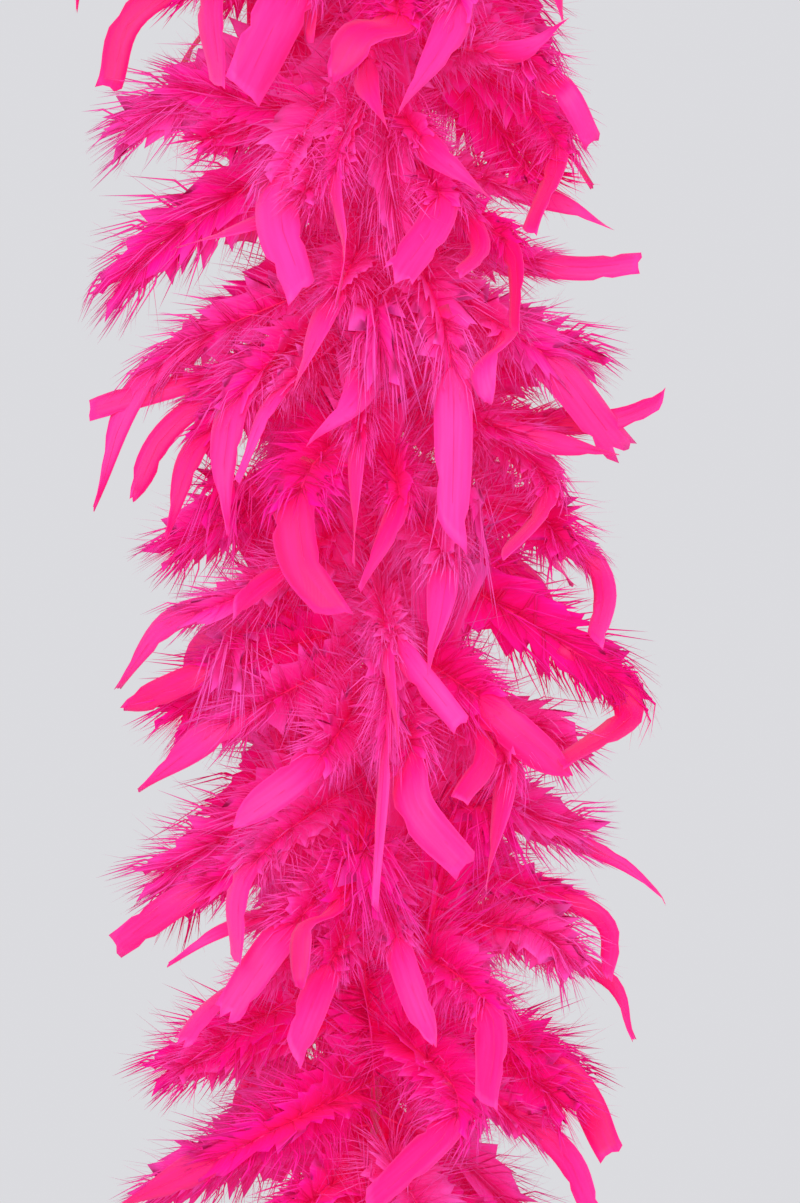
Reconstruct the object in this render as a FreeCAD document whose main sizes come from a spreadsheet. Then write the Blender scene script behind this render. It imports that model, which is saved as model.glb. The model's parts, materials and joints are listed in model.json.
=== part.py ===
import FreeCAD, Part
import math
import os
import Sketcher
from FreeCAD import Placement, Rotation, Vector

# A feather boa that hangs straight down from the cord loop at its top end.
#
# The maker twists two plies of cord together and pinches the quills of dyed turkey flats between them, a
# feather every few millimetres and each one turned on from the last, so that they stand out all round.
# At both ends a ply is folded back into a loop and the whole is bound with thread. The boa bends anywhere
# along its length. Here it is a chain of equal segments with a hinge between each two, and the hinges turn
# about X and Y in turn.
#
# Frame: +Z is up along the cord. The origin is where a hook bears on the inside of the top loop.
# Every segment is built with its upper end at z = 0, and its Placement hangs it in the chain.

# name, value in millimetres or degrees, what it is
SIZES = [
    ("boa_length", 1830, "feathered cord from end to end"),
    ("segment_count", 12, "stiff segments in the chain"),
    ("bend_range", 30, "how far each hinge bends, each way"),
    ("cord_diameter", 4, "the two plies twisted together"),
    ("cord_gap", 0.5, "between the round ends of two cord segments"),
    ("ply_diameter", 2, "one ply alone, which makes the loops"),
    ("feather_pitch", 3, "along the cord from one quill to the next"),
    ("feather_turn", 137.508, "round the cord from one quill to the next"),
    ("feather_droop", 38, "feathers slope this far below level"),
    ("feather_thickness", 0.6, "vane and down pressed flat"),
    ("quill_width", 1.2, "feather at the cord"),
    ("vane_width", 12, "feather at its widest"),
    ("tip_width", 6, "feather at its cut tip"),
    ("short_feather", 100, "length of the short flats"),
    ("medium_feather", 110, "length of the medium flats"),
    ("long_feather", 120, "length of the long flats"),
    ("whipping_length", 12, "thread binding along the cord"),
    ("whipping_wall", 1.2, "thickness of the wound thread"),
    ("whipping_clearance", 0.05, "between thread and cord"),
    ("feather_margin", 4, "bare cord between a whipping and the first quill"),
    ("swing_gap", 1.2, "between a loop's legs and the end of the whipping"),
    ("bend_margin", 3, "spare room between stiff feathers at a full bend"),
]

# Right half of a loop's centreline from its leg to its top, as x and z above the leg's lower end.
LOOP_ROUTE = [(1.4, 0), (1.7, 8), (5.5, 19), (8.0, 30), (5.5, 40)]
ARC_SHARE = 0.45  # part of the shorter run that each rounding arc takes up
WIDEST_AT = 0.55  # how far along a feather its vane is widest

doc = FreeCAD.newDocument("feather_boa")


def make_sheet():
    """Put the driving dimensions in a spreadsheet, one row each."""
    sheet = doc.addObject("Spreadsheet::Sheet", "sizes")
    for row, (name, value, meaning) in enumerate(SIZES, start=1):
        sheet.set(f"A{row}", str(value))
        sheet.setAlias(f"A{row}", name)
        sheet.set(f"B{row}", meaning)
    doc.recompute()
    return sheet


sizes = make_sheet()


def size(name):
    """The present value of one driving dimension."""
    return float(getattr(sizes, name))


def origin_plane(body, role):
    """One of the three origin planes of a body, by its role."""
    return next(part for part in body.Origin.OriginFeatures if part.Role == role)


def sketch_on(body, role, name):
    """An empty sketch on one of the body's own origin planes."""
    sketch = body.newObject("Sketcher::SketchObject", name)
    sketch.AttachmentSupport = [(origin_plane(body, role), "")]
    sketch.MapMode = "FlatFace"
    return sketch


def drive(sketch, kind, references, name, expression):
    """Add a named dimension to a sketch and bind it to the spreadsheet."""
    start = 1.0
    index = sketch.addConstraint(Sketcher.Constraint(kind, *references, start))
    sketch.renameConstraint(index, name)
    sketch.setExpression(f"Constraints.{name}", expression)


def closed_outline(sketch, corners):
    """Straight edges through the corners, joined end to end and closed."""
    count = len(corners)
    for here, there in zip(corners, corners[1:] + corners[:1]):
        sketch.addGeometry(Part.LineSegment(Vector(*here, 0), Vector(*there, 0)))
    for edge in range(count):
        sketch.addConstraint(Sketcher.Constraint("Coincident", edge, 2, (edge + 1) % count, 1))


def feather_blank(name, length):
    """One flat feather that lies along +X with its quill end at the origin."""
    body = doc.addObject("PartDesign::Body", name)
    sketch = sketch_on(body, "XY_Plane", name + "_outline")
    long, widest = size(length), WIDEST_AT * size(length)
    quill, vane, tip = (size(width) / 2 for width in ("quill_width", "vane_width", "tip_width"))
    closed_outline(
        sketch,
        [(0, -quill), (widest, -vane), (long, -tip), (long, tip), (widest, vane), (0, quill)],
    )
    for side, (lower, upper) in {"quill": (0, 5), "vane": (1, 4), "tip": (2, 3)}.items():
        sketch.addConstraint(Sketcher.Constraint("Symmetric", lower, 1, upper, 1, -1))
        drive(sketch, "DistanceY", (lower, 1, upper, 1), side + "_width", f"sizes.{side}_width")
    drive(sketch, "DistanceX", (0, 1, 2, 1), "length", f"sizes.{length}")
    drive(sketch, "DistanceX", (0, 1, 1, 1), "widest", f"sizes.{length} * {WIDEST_AT}")
    drive(sketch, "DistanceX", (-1, 1, 0, 1), "start", "0 mm")
    pad = body.newObject("PartDesign::Pad", name + "_pad")
    pad.Profile = sketch
    pad.Midplane = True
    pad.setExpression("Length", "sizes.feather_thickness")
    return body


def cord_segment(name, top):
    """One stiff length of the twisted cord with a round end against each neighbour."""
    dome_centre = "(sizes.cord_gap + sizes.cord_diameter) / 2"
    lower_dome = f"sizes.boa_length / sizes.segment_count - {dome_centre}"
    length = doc.addObject("Part::Cylinder", name + "_length")
    length.setExpression("Height", f"{lower_dome} - {dome_centre}")
    domes = [doc.addObject("Part::Sphere", name + end) for end in ("_upper_end", "_lower_end")]
    for piece, depth in zip([length] + domes, (lower_dome, dome_centre, lower_dome)):
        piece.setExpression("Radius", "sizes.cord_diameter / 2")
        piece.setExpression("Placement.Base.z", f"-({depth})")
    cord = doc.addObject("Part::MultiFuse", name)
    cord.Shapes = [length] + domes
    cord.Refine = True
    cord.Placement = Placement(Vector(0, 0, top), Rotation())
    return cord


def segment_length():
    """The boa is shared out evenly between the segments."""
    return size("boa_length") / size("segment_count")


def cord_top():
    """Height of the twisted cord's upper end below the hook."""
    neck = LOOP_ROUTE[-1][1] - size("ply_diameter") / 2
    return -neck - size("swing_gap")


def stiff_inset():
    """How far from a hinge a feather has to be rooted to stay clear of the next segment at a full bend."""
    droop, bend = math.radians(size("feather_droop")), math.radians(size("bend_range"))
    reach = size("cord_diameter") / 2 + size("long_feather") * math.cos(droop)
    return (reach * (math.tan(droop) - math.tan(droop - bend)) + size("bend_margin")) / 2


def quill_depths(segment):
    """How far below the segment's upper end each of its quills is rooted."""
    end = size("whipping_length") + size("feather_margin")
    dome = (size("cord_gap") + size("cord_diameter")) / 2
    first = end if segment == 0 else dome
    last = segment_length() - (end if segment == int(size("segment_count")) - 1 else dome)
    rows = int((last - first) / size("feather_pitch")) + 1
    return [first + row * size("feather_pitch") for row in range(rows)]


def placed_feather(blank, depth, around):
    """A copy of a feather with its quill against the cord, at one depth and one angle round it."""
    droop = size("feather_droop")
    # the lower edge of the tilted quill end is what meets the cord
    set_off = size("feather_thickness") / 2 * math.sin(math.radians(droop))
    root = Placement(Vector(size("cord_diameter") / 2 + set_off, 0, 0), Rotation(Vector(0, 1, 0), droop))
    turned = Placement(Vector(0, 0, -depth), Rotation(Vector(0, 0, 1), around))
    feather = blank.Shape.copy()
    feather.Placement = turned * root
    return feather


def feather_groups(blanks, segment, first_number):
    """Share a segment's feathers between those that stay put and those that bend with a hinge."""
    groups = {"upper": [], "middle": [], "lower": []}
    depths = quill_depths(segment)
    for number, depth in enumerate(depths, start=first_number):
        blank = blanks[number % len(blanks)]
        feather = placed_feather(blank, depth, number * size("feather_turn"))
        from_hinge = min(depth, segment_length() - depth)
        # every other feather in the middle is left to bend, so that the stiff ones stay few
        if from_hinge > stiff_inset() and number % 2 == 0:
            groups["middle"].append(feather)
        elif depth < segment_length() / 2:
            groups["upper"].append(feather)
        else:
            groups["lower"].append(feather)
    return groups, first_number + len(depths)


def feather_node(name, feathers, top):
    """Several loose feathers of one segment as a group of separate solids."""
    node = doc.addObject("Part::Feature", name)
    node.Shape = Part.makeCompound(feathers)
    node.Placement = Placement(Vector(0, 0, top), Rotation())
    return node


def whipping(name, top):
    """The thread wound round one end of the cord, as a plain sleeve."""
    outer = doc.addObject("Part::Cylinder", name + "_outside")
    outer.setExpression("Radius", "sizes.cord_diameter / 2 + sizes.whipping_clearance + sizes.whipping_wall")
    bore = doc.addObject("Part::Cylinder", name + "_bore")
    bore.setExpression("Radius", "sizes.cord_diameter / 2 + sizes.whipping_clearance")
    for cylinder in (outer, bore):
        cylinder.setExpression("Height", "sizes.whipping_length")
    sleeve = doc.addObject("Part::Cut", name)
    sleeve.Base, sleeve.Tool = outer, bore
    sleeve.Placement = Placement(Vector(0, 0, top - size("whipping_length")), Rotation())
    return sleeve


def rounded_route(points):
    """A wire of straight runs with a tangent arc at each point between them."""
    edges, start = [], points[0]
    radii = []
    for before, corner, after in zip(points, points[1:], points[2:]):
        back, on = (before - corner).normalize(), (after - corner).normalize()
        half_turn = (math.pi - back.getAngle(on)) / 2
        trim = ARC_SHARE * min((before - corner).Length, (after - corner).Length)
        radii.append(trim / math.tan(half_turn))
        entry, leave = corner + back * trim, corner + on * trim
        bisector = (back + on).normalize()
        to_middle = radii[-1] * (1 / math.cos(half_turn) - 1)
        edges.append(Part.LineSegment(start, entry).toShape())
        edges.append(Part.Arc(entry, corner + bisector * to_middle, leave).toShape())
        start = leave
    edges.append(Part.LineSegment(start, points[-1]).toShape())
    print("loop radii, mm:", [round(radius, 1) for radius in radii])
    return Part.Wire(edges)


def cord_loop(name, placement):
    """One ply folded back on itself, as a round tube that opens upward from its two legs."""
    right = [Vector(x, 0, z) for x, z in LOOP_ROUTE]
    left = [Vector(-x, 0, z) for x, z in LOOP_ROUTE]
    route = rounded_route(right + left[::-1])
    leg = (right[1] - right[0]).normalize()
    section = Part.Wire(Part.makeCircle(size("ply_diameter") / 2, right[0], leg))
    node = doc.addObject("Part::Feature", name)
    node.Shape = route.makePipeShell([section], True, False)
    node.Placement = placement
    area = math.pi * (size("ply_diameter") / 2) ** 2
    print(f"{name}: {route.Length:.1f} mm long, volume {node.Shape.Volume:.1f}", end=" ")
    print(f"against section times length {area * route.Length:.1f} mm3")
    return node


def make_boa():
    """Every piece of the boa from the top loop down, and a list of them."""
    blanks = [feather_blank(name, name) for name in ("short_feather", "medium_feather", "long_feather")]
    doc.recompute()
    neck = cord_top() + size("swing_gap")
    nodes = [cord_loop("hanging_loop", Placement(Vector(0, 0, neck), Rotation()))]
    nodes.append(whipping("top_whipping", cord_top()))
    number = 0
    for segment in range(int(size("segment_count"))):
        top = cord_top() - segment * segment_length()
        nodes.append(cord_segment(f"core_cord_{segment + 1:02d}", top))
        groups, number = feather_groups(blanks, segment, number)
        for place, feathers in groups.items():
            nodes.append(feather_node(f"feathers_{segment + 1:02d}_{place}", feathers, top))
    bottom = cord_top() - size("boa_length")
    nodes.append(whipping("tail_whipping", bottom + size("whipping_length")))
    upside_down = Rotation(Vector(1, 0, 0), 180)
    nodes.append(cord_loop("tail_loop", Placement(Vector(0, 0, bottom - size("swing_gap")), upside_down)))
    print(f"{number} feathers, stiff ones rooted {stiff_inset():.1f} mm or more from a hinge")
    print(f"loop hinge at z = {cord_top() + size('swing_gap') / 2:.2f} mm")
    print(f"bends every {segment_length():.2f} mm below z = {cord_top():.2f} mm")
    return nodes


def check_and_write(nodes):
    """Stop on any failed object or shape, then write one STEP file for each node."""
    doc.recompute()
    for thing in doc.Objects:
        if "Invalid" in thing.State or "Error" in thing.State:
            raise RuntimeError(f"{thing.Label} did not build: {thing.State}")
    for node in nodes:
        if node.Shape.isNull() or not node.Shape.isValid():
            raise RuntimeError(f"{node.Label} has no valid shape")
    os.makedirs("parts", exist_ok=True)
    for node in nodes:
        node.Shape.exportStep(f"parts/{node.Label}.step")
    solids = sum(len(node.Shape.Solids) for node in nodes)
    volume = sum(node.Shape.Volume for node in nodes)
    print(f"{len(nodes)} nodes, {solids} solids, {volume:.0f} mm3")


check_and_write(make_boa())
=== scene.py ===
# %% [markdown]
# # A feather boa
#
# A feather boa is a long cord with hundreds of dyed feathers caught in its twist. This one is a chandelle
# boa, made of turkey flats: each feather has a downy lower half and a smooth, cut blade at its end.
# It hangs straight down from a loop of its own cord. We build it the way it is made: a cord, a binding and
# a loop at each end, and then one feather after another, each turned on from the last.

# %% The frame
import json
import math

import bmesh
import bpy
import numpy as np
from mathutils import Matrix, Vector

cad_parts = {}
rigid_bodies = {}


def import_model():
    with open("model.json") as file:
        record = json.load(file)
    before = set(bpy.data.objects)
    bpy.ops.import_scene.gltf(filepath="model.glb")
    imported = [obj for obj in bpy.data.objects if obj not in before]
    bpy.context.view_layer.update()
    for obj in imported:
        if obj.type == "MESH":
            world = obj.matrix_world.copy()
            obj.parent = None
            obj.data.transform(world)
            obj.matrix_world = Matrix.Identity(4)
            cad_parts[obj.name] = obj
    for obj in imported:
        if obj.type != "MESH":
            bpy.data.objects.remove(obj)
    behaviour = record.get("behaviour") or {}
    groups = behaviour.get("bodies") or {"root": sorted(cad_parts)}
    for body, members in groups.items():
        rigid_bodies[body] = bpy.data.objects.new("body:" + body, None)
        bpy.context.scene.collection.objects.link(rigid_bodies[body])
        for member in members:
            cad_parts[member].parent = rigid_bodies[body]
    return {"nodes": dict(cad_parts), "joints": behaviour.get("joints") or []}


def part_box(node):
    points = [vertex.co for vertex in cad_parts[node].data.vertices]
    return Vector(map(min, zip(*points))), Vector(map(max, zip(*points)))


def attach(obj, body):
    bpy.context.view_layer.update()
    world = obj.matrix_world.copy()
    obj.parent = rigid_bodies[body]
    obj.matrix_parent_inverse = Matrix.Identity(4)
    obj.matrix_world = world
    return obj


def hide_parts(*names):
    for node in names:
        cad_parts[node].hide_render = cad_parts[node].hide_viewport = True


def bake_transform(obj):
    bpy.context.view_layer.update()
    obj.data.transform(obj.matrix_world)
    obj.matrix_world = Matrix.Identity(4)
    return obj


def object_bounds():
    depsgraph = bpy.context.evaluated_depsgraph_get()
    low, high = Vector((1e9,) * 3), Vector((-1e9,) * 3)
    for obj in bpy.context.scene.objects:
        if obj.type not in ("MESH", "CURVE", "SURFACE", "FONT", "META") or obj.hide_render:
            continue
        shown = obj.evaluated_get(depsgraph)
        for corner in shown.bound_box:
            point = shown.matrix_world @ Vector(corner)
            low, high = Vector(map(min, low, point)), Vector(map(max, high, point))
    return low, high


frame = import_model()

MM = 0.001
cad_box = [list(corner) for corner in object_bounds()]
print("CAD box, m:", cad_box)

# %% [markdown]
# ## Where things are
#
# The frame gives the heights of the hinges, which stand in for the bend of the cord, and the height of the
# bindings at both ends. Every place below is worked out from them.

# %% Heights along the cord
cord_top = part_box("top_whipping")[1].z
cord_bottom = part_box("tail_whipping")[0].z
cord_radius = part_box("core_cord_01")[1].x
bends = [joint for joint in frame["joints"] if joint["name"].startswith("bend")]
hinge_heights = [joint["pos_m"][2] for joint in bends]
segments = [bends[0]["parent"]] + [joint["child"] for joint in bends]
segment_length = hinge_heights[0] - hinge_heights[1]
middle_height = (cord_top + cord_bottom) / 2
print(f"cord from {cord_top:.3f} to {cord_bottom:.3f} m, {len(segments)} segments of {segment_length:.4f} m")

# %% [markdown]
# ## Camera
#
# The boa is seen level and from the front, close enough that both ends run out of the picture. A long lens
# from a little way off keeps the sides from spreading. The sensor's 36 mm lie along the picture's height.

# %% Camera
VIEW_HEIGHT = 0.401
CAMERA_DISTANCE = 1.5
AXIS_OFFSET = 0.008  # the boa hangs a little left of the picture's middle

camera = bpy.data.objects.new("camera", bpy.data.cameras.new("camera"))
bpy.context.scene.collection.objects.link(camera)
camera.data.lens = camera.data.sensor_width * CAMERA_DISTANCE / VIEW_HEIGHT
camera.location = (AXIS_OFFSET, -CAMERA_DISTANCE, middle_height)
camera.rotation_euler = (math.pi / 2, 0, 0)
bpy.context.scene.camera = camera
print(f"lens {camera.data.lens:.0f} mm at {CAMERA_DISTANCE} m")

# %% [markdown]
# ## Helpers for materials
#
# A finish is a small tree of nodes round one Principled shader. These helpers keep each tree short: they
# start a material, add a node, join two sockets, and add a colour ramp or a bump.


# %% Material helpers
def new_material(name, colour, roughness, **fixed):
    """A material with a Principled shader, with its fixed numbers set on the shader's own sockets."""
    material = bpy.data.materials.new(name)
    material.use_nodes = True
    shader = material.node_tree.nodes["Principled BSDF"]
    shader.inputs["Base Color"].default_value = (*colour, 1)
    shader.inputs["Roughness"].default_value = roughness
    for socket, value in fixed.items():
        shader.inputs[socket.replace("_", " ")].default_value = value
    return material, shader


def add_node(material, kind, settings=None, **inputs):
    """One node of this kind, with its properties and its plain input values set."""
    node = material.node_tree.nodes.new(kind)
    for key, value in (settings or {}).items():
        setattr(node, key, value)
    for socket, value in inputs.items():
        node.inputs[socket.replace("_", " ")].default_value = value
    return node


def join(material, output, socket):
    """Join an output socket to an input socket."""
    material.node_tree.links.new(output, socket)


def colour_ramp(material, factor, stops):
    """A colour ramp over a factor, from (place, colour) stops."""
    ramp = add_node(material, "ShaderNodeValToRGB")
    while len(ramp.color_ramp.elements) < len(stops):
        ramp.color_ramp.elements.new(0.5)
    for element, (place, colour) in zip(ramp.color_ramp.elements, stops):
        element.position = place
        element.color = (*colour, 1)
    join(material, factor, ramp.inputs["Fac"])
    return ramp.outputs["Color"]


def bump(material, shader, height, strength, distance):
    """Bump on a shader from a height."""
    node = add_node(material, "ShaderNodeBump", Strength=strength, Distance=distance)
    join(material, height, node.inputs["Height"])
    join(material, node.outputs["Normal"], shader.inputs["Normal"])


# %% [markdown]
# ## Cord and thread
#
# The cord is soft cotton, dyed with the feathers. Its fibres run round it at a slant, which a wave texture
# across the object gives as fine bump and as painted shade in the grooves between them. Loose fibres make it
# slightly fuzzy, which is what sheen is for.
# Hot pink dye is fluorescent, so it gives back a little more red than falls on it and its shadows stay
# vivid. A faint glow of its own stands in for this: painted light, which lifts the shadows of the cord, the
# thread and the feathers.


# %% Cord and thread materials
# Painted light: a faint red glow of every dyed part, which lifts its shadows and stands in for the dye's
# fluorescence.
PAINTED_FILL_GLOW = (1.0, 0.0, 0.11, 1)


def fibre_material(name, colour, fibres_per_metre):
    """Dyed cotton, with fine slanted fibres and painted shade in the grooves between them."""
    # the cotton glows faintly, painted light that lifts its shadows
    material, shader = new_material(name, colour, 0.85, Sheen_Weight=0.4, Sheen_Roughness=0.5,
                                    Emission_Color=PAINTED_FILL_GLOW, Emission_Strength=0.15)
    place = add_node(material, "ShaderNodeTexCoord")
    slant = add_node(material, "ShaderNodeMapping", Rotation=(0.6, 0.5, 0.0))
    join(material, place.outputs["Object"], slant.inputs["Vector"])
    wave = add_node(material, "ShaderNodeTexWave", {"bands_direction": "Z"},
                    Scale=fibres_per_metre, Distortion=2.0)
    join(material, slant.outputs["Vector"], wave.inputs["Vector"])
    bump(material, shader, wave.outputs["Fac"], 0.6, 0.0003)
    # painted shade: darker where the wave dips, in the grooves between the fibres
    groove_shade_colour = tuple(0.6 * part for part in colour)
    tint = colour_ramp(material, wave.outputs["Fac"], [(0.2, groove_shade_colour), (0.7, colour)])
    join(material, tint, shader.inputs["Base Color"])
    return material


cord_material = fibre_material("dyed_cord", (0.72, 0.012, 0.16), 900)
thread_material = fibre_material("wound_thread", (0.80, 0.02, 0.22), 1500)

# %% [markdown]
# ## Hanging loop and tail loop
#
# At each end one ply of the cord is folded back into a loop, bound down by thread. A loop of limp cord is a
# curve: a few listed points, a smooth NURBS spline through their frame, and a round section.

# %% The two cord loops
# Right half of a loop from its leg to its top, in millimetres to the side and above the leg's lower end.
LOOP_ROUTE = [(1.4, 0), (1.7, 8), (5.5, 19), (8.0, 30), (5.5, 40)]
PLY_DIAMETER = 0.002


def cord_loop(name, node, body, upward):
    """A loop of one ply. upward is 1 for the loop that the boa hangs by and -1 for the other end's."""
    low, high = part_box(node)
    leg_height = low.z if upward > 0 else high.z
    half = [(x * MM, leg_height + upward * z * MM) for x, z in LOOP_ROUTE]
    points = half + [(-x, z) for x, z in reversed(half)]
    curve = bpy.data.curves.new(name, "CURVE")
    curve.dimensions = "3D"
    curve.bevel_depth = PLY_DIAMETER / 2
    curve.bevel_resolution = 4
    curve.resolution_u = 10
    curve.use_fill_caps = True
    spline = curve.splines.new("NURBS")
    spline.points.add(len(points) - 1)
    for point, (x, z) in zip(spline.points, points):
        point.co = (x, 0, z, 1)
    spline.order_u = 3
    spline.use_endpoint_u = True
    loop = bpy.data.objects.new(name, curve)
    bpy.context.scene.collection.objects.link(loop)
    curve.materials.append(cord_material)
    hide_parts(node)
    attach(loop, body)
    return loop


cord_loop("hanging_loop_ply", "hanging_loop", "top_loop", 1)
cord_loop("tail_loop_ply", "tail_loop", "end_loop", -1)


# %% [markdown]
# ## Turning round a cord
#
# A twisted ply and a wound thread are both a small circle carried round the cord's axis while it climbs.
# `spin` does just that: it turns a circle of edges and shifts it along at every step.

# %% Spun plies and threads
def finish_piece(name, bm, materials):
    """Turn a bmesh into an object with smooth faces that point outwards."""
    bmesh.ops.recalc_face_normals(bm, faces=bm.faces)
    for face in bm.faces:
        face.smooth = True
    mesh = bpy.data.meshes.new(name)
    bm.to_mesh(mesh)
    bm.free()
    for material in materials:
        mesh.materials.append(material)
    piece = bpy.data.objects.new(name, mesh)
    bpy.context.scene.collection.objects.link(piece)
    return piece


def climbing_strand(bm, strand_radius, orbit, top, bottom, turns, start_angle, sides, steps_per_turn):
    """A strand that winds round the Z axis from top to bottom, closed at both ends."""
    ring = bmesh.ops.create_circle(bm, segments=sides, radius=strand_radius, cap_ends=True)["verts"]
    slope = math.atan2(top - bottom, 2 * math.pi * max(orbit, strand_radius / 2) * turns)
    lay = Matrix.Rotation(math.pi / 2 + slope, 3, "X")
    bmesh.ops.rotate(bm, verts=ring, cent=(0, 0, 0), matrix=lay)
    bmesh.ops.translate(bm, verts=ring, vec=(orbit, 0, top))
    bmesh.ops.rotate(bm, verts=ring, cent=(0, 0, 0), matrix=Matrix.Rotation(start_angle, 3, "Z"))
    cap = [face for face in bm.faces if all(vert in ring for vert in face.verts)]
    steps = round(turns * steps_per_turn)
    bmesh.ops.spin(
        bm, geom=ring + cap + list({edge for vert in ring for edge in vert.link_edges}),
        cent=(0, 0, 0), axis=(0, 0, 1), dvec=(0, 0, (bottom - top) / steps),
        angle=2 * math.pi * turns, steps=steps, use_merge=False, use_duplicate=False,
    )


# %% [markdown]
# ## Whippings
#
# The thread at each end is wound tightly over cord and loop, turn beside turn, and its last turns ride up
# over the first. One strand at the cord's surface and a second, slightly larger winding over the middle
# give it that swollen look.

# %% Whippings
THREAD_DIAMETER = 0.0011


def whipping(name, node, body):
    """Thread wound round the cord's end."""
    low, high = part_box(node)
    bm = bmesh.new()
    radius = THREAD_DIAMETER / 2
    under = high.x - radius
    top, bottom = high.z - radius, low.z + radius
    turns = (top - bottom) / THREAD_DIAMETER
    climbing_strand(bm, radius, under, top, bottom, turns, 0, 6, 18)
    inset = (top - bottom) / 4
    climbing_strand(bm, radius, under + radius, top - inset, bottom + inset, turns / 2, 2, 6, 18)
    piece = finish_piece(name, bm, [thread_material])
    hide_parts(node)
    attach(piece, body)
    print(name, len(piece.data.polygons), "faces")


whipping("top_whipping_thread", "top_whipping", segments[0])
whipping("tail_whipping_thread", "tail_whipping", segments[-1])

# %% [markdown]
# ## Core cord
#
# Two plies twisted together hold the feathers. The cord bends anywhere, so each length of it runs from the
# middle of one segment to the middle of the next, across the hinge between them, and the two end lengths ride
# on the end segments.

# %% Core cord
TWIST_LENGTH = 0.013  # one full turn of the plies


def follow_the_bend(piece, number):
    """Bake a piece's place into its mesh and leave it without a parent where number names a hinge, or let it
    ride on the nearest end segment where there is no such hinge.
    """
    if 0 <= number < len(hinge_heights):
        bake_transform(piece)
    else:
        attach(piece, segments[min(max(number, 0), len(segments) - 1)])


lengths = [cord_top] + [hinge + segment_length / 2 for hinge in hinge_heights]
lengths += [hinge_heights[-1] - segment_length / 2, cord_bottom]
for number, (upper, lower) in enumerate(zip(lengths, lengths[1:])):
    bm = bmesh.new()
    twists = (upper - lower) / TWIST_LENGTH
    turned_so_far = 2 * math.pi * (cord_top - upper) / TWIST_LENGTH
    for ply in (0, math.pi):
        climbing_strand(bm, cord_radius / 2, cord_radius / 2, upper, lower, twists, ply + turned_so_far, 6, 10)
    piece = finish_piece(f"cord_plies_{number:02d}", bm, [cord_material])
    if number > 0:
        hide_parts(f"core_cord_{number:02d}")
    follow_the_bend(piece, number - 1)
print(len(lengths) - 1, "lengths of twisted cord")

# %% [markdown]
# ## Feather finishes
#
# Dyed feather is strong in colour and soft in shine. The blade is satin: its barbs are zipped together and
# run out from the quill at a slant, so fine slanted lines are drawn by its own "along" and "across"
# numbers, and a thin painted highlight runs along its cut edge. The down is not zipped. Its strands lie side
# by side, which the same two numbers draw as uneven streaks. Its tips, which scatter the light, are painted
# paler, and towards the quill, where shade falls deep in the boa, it is painted darker and redder. Every
# feather also carries one "shade" number of its own, because no two take the dye alike.


# %% Feather materials
def attribute(material, name):
    """The value that the mesh itself carries under this name."""
    return add_node(material, "ShaderNodeAttribute", {"attribute_name": name}).outputs["Fac"]


def maths(material, operation, first, second):
    """One sum. Either value may be a socket or a number."""
    node = add_node(material, "ShaderNodeMath", {"operation": operation})
    for socket, value in zip(node.inputs, (first, second)):
        if isinstance(value, (int, float)):
            socket.default_value = value
        else:
            join(material, value, socket)
    return node.outputs["Value"]


def streaks(material, across_scale, along_scale):
    """Uneven streaks that run along a strand and change from feather to feather."""
    place = add_node(material, "ShaderNodeCombineXYZ")
    join(material, maths(material, "MULTIPLY", attribute(material, "across"), across_scale), place.inputs["X"])
    join(material, maths(material, "MULTIPLY", attribute(material, "along"), along_scale), place.inputs["Y"])
    join(material, maths(material, "MULTIPLY", attribute(material, "shade"), 37), place.inputs["Z"])
    noise = add_node(material, "ShaderNodeTexNoise", Scale=1.0, Detail=2.0)
    join(material, place.outputs["Vector"], noise.inputs["Vector"])
    return noise.outputs["Fac"]


def painted_edge_highlight(material):
    """A thin painted highlight along the blade's cut edge and at its tip, where the edge catches the light."""
    near_edge = maths(material, "MULTIPLY", maths(material, "SUBTRACT", attribute(material, "rim"), 0.90), 10)
    return maths(material, "MULTIPLY", maths(material, "MAXIMUM", near_edge, 0), 0.35)


def blade_material():
    """The smooth cut end of a feather."""
    # the blade glows faintly, painted light that lifts its shadows
    material, shader = new_material(
        "feather_blade", (1.0, 0.03, 0.34), 0.45, Emission_Color=PAINTED_FILL_GLOW, Emission_Strength=0.12,
        Specular_IOR_Level=0.3, Sheen_Weight=0.2, Sheen_Roughness=0.4, Sheen_Tint=(1.0, 0.4, 0.6, 1),
    )
    across = attribute(material, "across")
    streak = streaks(material, 0.9, 6.0)
    tone = maths(material, "ADD", maths(material, "MULTIPLY", attribute(material, "shade"), 0.7),
                 maths(material, "MULTIPLY", streak, 0.4))
    stops = [(0.15, (0.76, 0.001, 0.10)), (0.5, (0.90, 0.003, 0.20)), (0.95, (0.96, 0.028, 0.33))]
    # painted highlight: paler along the cut edge and at the tip
    tone = maths(material, "ADD", tone, painted_edge_highlight(material))
    join(material, colour_ramp(material, tone, stops), shader.inputs["Base Color"])
    slant = maths(material, "SUBTRACT", maths(material, "MULTIPLY", attribute(material, "along"), 110),
                  maths(material, "MULTIPLY", maths(material, "ABSOLUTE", across, 0), 1.6))
    lines = maths(material, "SINE", maths(material, "MULTIPLY", slant, 9.0), 0)
    bump(material, shader, lines, 0.25, 0.00008)
    return material


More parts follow.
